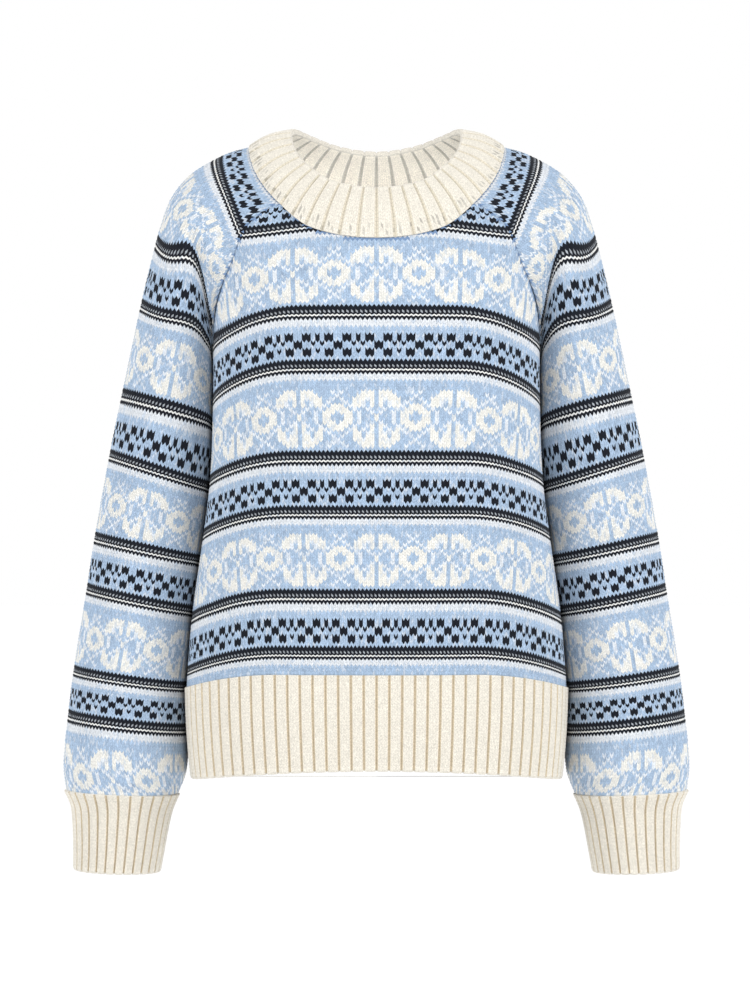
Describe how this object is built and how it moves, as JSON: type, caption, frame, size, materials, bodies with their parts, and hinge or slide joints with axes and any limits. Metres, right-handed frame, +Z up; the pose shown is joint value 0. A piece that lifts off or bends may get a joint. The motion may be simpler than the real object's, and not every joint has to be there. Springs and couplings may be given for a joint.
{
  "type": "fair isle jumper",
  "caption": "Raglan-sleeved fair isle jumper with ribbed neckband, hem and cuffs, filled out as when worn.",
  "frame": {"origin": "middle of the wearer's neck at the height of the shoulders that carry the garment", "axes": "+Z up, -Y out of the front, +X towards the wearer's left"},
  "size_m": [0.597, 0.2262, 0.7075],
  "materials": {
    "fair_isle": "soft wool knit",
    "cream_rib": "soft ribbed wool knit"
  },
  "bodies": {
    "root": {"front": "fair_isle", "back": "fair_isle", "sleeve_left": "fair_isle", "sleeve_right": "fair_isle", "hem_rib_front": "cream_rib", "hem_rib_back": "cream_rib", "cuff_left": "cream_rib", "cuff_right": "cream_rib", "neckband": "cream_rib"}
  },
  "joints": []
}
